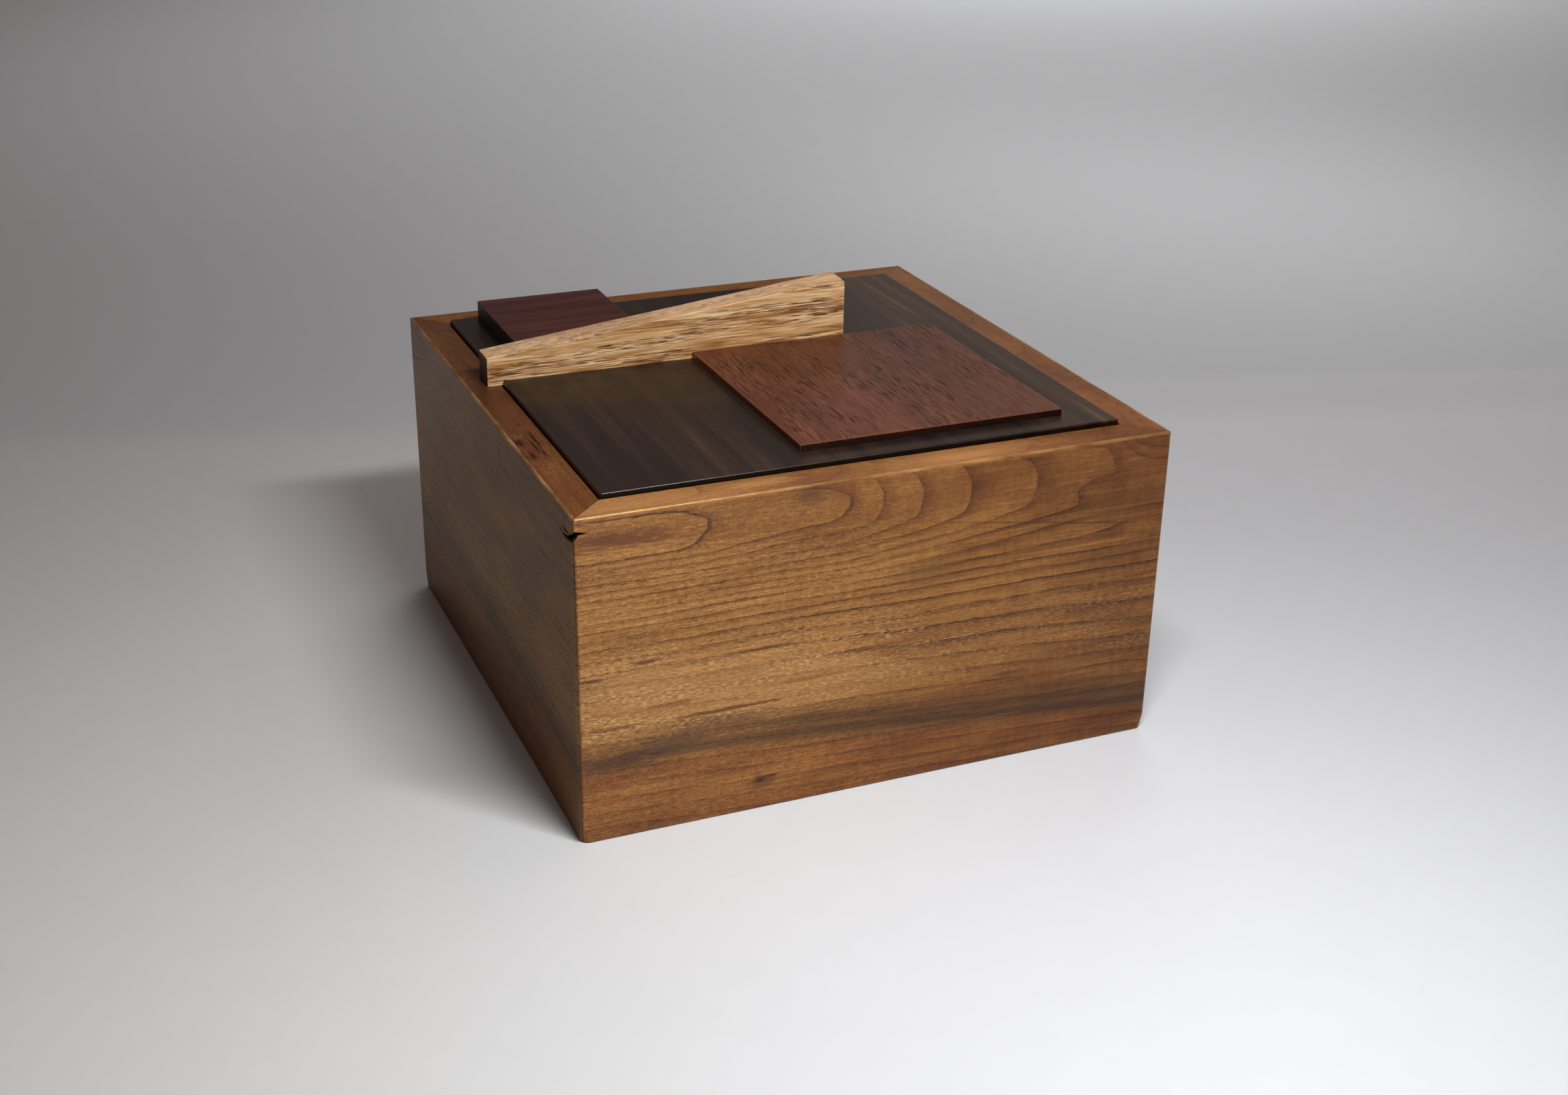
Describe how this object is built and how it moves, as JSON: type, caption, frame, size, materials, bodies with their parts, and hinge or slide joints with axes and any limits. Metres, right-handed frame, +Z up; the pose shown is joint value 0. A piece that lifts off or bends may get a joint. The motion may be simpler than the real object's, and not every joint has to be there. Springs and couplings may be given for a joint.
{
  "type": "wooden keepsake box with drop-in lid",
  "caption": "Square mitred walnut box for papers and keepsakes, with a dark drop-in lid that carries a tapered handle bar, a thin tile and a raised block.",
  "frame": {"origin": "middle of the box's underside, on the surface it stands on", "axes": "+Z up out of the lid, +X to the right seen from the front, +Y from the front to the rear"},
  "size_m": [0.203, 0.203, 0.1345],
  "materials": {
    "walnut": "oiled and rubbed to a satin gloss",
    "ledge_walnut": "planed, oiled",
    "bottom_walnut": "planed, oiled",
    "beech": "bare, hidden in the joint",
    "ebony": "polished gloss",
    "oak": "satin varnish, open pores",
    "mahogany": "polished gloss, open pores",
    "rosewood": "polished satin",
    "brass": "bright turned"
  },
  "bodies": {
    "case": {"front_wall": "walnut", "right_wall": "walnut", "rear_wall": "walnut", "left_wall": "walnut", "front_left_tongue": "beech", "front_right_tongue": "beech", "rear_right_tongue": "beech", "rear_left_tongue": "beech", "bottom_panel": "bottom_walnut", "front_ledge": "ledge_walnut", "right_ledge": "ledge_walnut", "rear_ledge": "ledge_walnut", "left_ledge": "ledge_walnut"},
    "lid": {"lid_panel": "ebony", "handle_bar": "oak", "lid_tile": "mahogany", "lid_block": "rosewood", "bar_screws": "brass"}
  },
  "joints": [
    {"name": "lid_lift", "type": "slide", "parent": "case", "child": "lid", "axis": [0, 0, 1], "range_m": [0, 0.08]}
  ]
}
